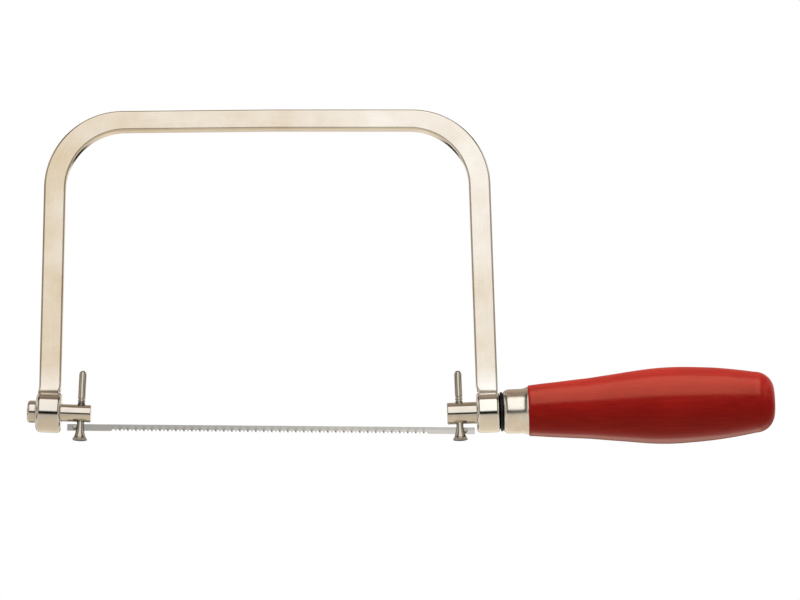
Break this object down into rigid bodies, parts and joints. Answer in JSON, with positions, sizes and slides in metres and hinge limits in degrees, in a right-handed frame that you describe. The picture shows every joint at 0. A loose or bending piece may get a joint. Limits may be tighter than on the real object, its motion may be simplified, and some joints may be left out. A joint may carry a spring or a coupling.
{
  "type": "coping saw",
  "caption": "Hand saw with a sprung U-shaped steel frame, turning blade holders, a narrow pinned blade and a turned wooden handle that tensions it.",
  "frame": {"origin": "the middle of the blade, halfway between its two cross pins", "axes": "+X along the blade towards the handle, +Z from the blade towards the spine of the frame, +Y to the side, so the frame is symmetric about Y = 0"},
  "size_m": [0.3163, 0.0324, 0.1446],
  "materials": {
    "frame_nickel": "satin nickel plate with fine lengthwise polishing lines",
    "holder_nickel": "satin nickel plate with turned lines",
    "blade_steel": "ground spring steel",
    "pin_steel": "bright drawn steel",
    "washer_steel": "dull steel",
    "ferrule_nickel": "soft nickel plate",
    "nut_steel": "plain steel",
    "grip_lacquer": "gloss red lacquer on turned hardwood"
  },
  "bodies": {
    "frame": {"frame": "frame_nickel"},
    "front_holder": {"front_spigot": "holder_nickel", "front_tommy_pin": "holder_nickel"},
    "blade": {"blade": "blade_steel", "front_blade_pin": "pin_steel", "rear_blade_pin": "pin_steel"},
    "thrust_washer": {"thrust_washer": "washer_steel"},
    "rear_holder": {"rear_spigot": "holder_nickel", "rear_tommy_pin": "holder_nickel"},
    "handle": {"handle": "grip_lacquer", "ferrule": "ferrule_nickel", "handle_nut": "nut_steel"}
  },
  "joints": [
    {"name": "front_turn", "type": "hinge", "parent": "frame", "child": "front_holder", "pos_m": [-0.0937, 0, 0.00725], "axis": [0.9993, 0, -0.0384], "continuous": true},
    {"name": "blade_turn", "type": "hinge", "parent": "frame", "child": "blade", "pos_m": [-0.07946, 0, 0.0067], "axis": [1, 0, 0.0003], "continuous": true},
    {"name": "rear_turn", "type": "hinge", "parent": "frame", "child": "thrust_washer", "pos_m": [0.0922, 0, 0.00725], "axis": [0.9993, 0, 0.0384], "continuous": true},
    {"name": "blade_tension", "type": "slide", "parent": "thrust_washer", "child": "rear_holder", "axis": [-0.9993, 0, -0.0384], "range_m": [0, 0.00401]},
    {"name": "handle_turn", "type": "hinge", "parent": "frame", "child": "handle", "pos_m": [0.0922, 0, 0.00725], "axis": [0.9993, 0, 0.0384], "range_deg": [0, 1440]}
  ],
  "couplings": [
    {"joint": "front_turn", "follows": "rear_turn", "ratio": 1},
    {"joint": "blade_turn", "follows": "rear_turn", "ratio": 1},
    {"joint": "blade_tension", "follows": "handle_turn", "m_per_rad": 0.00015915}
  ]
}
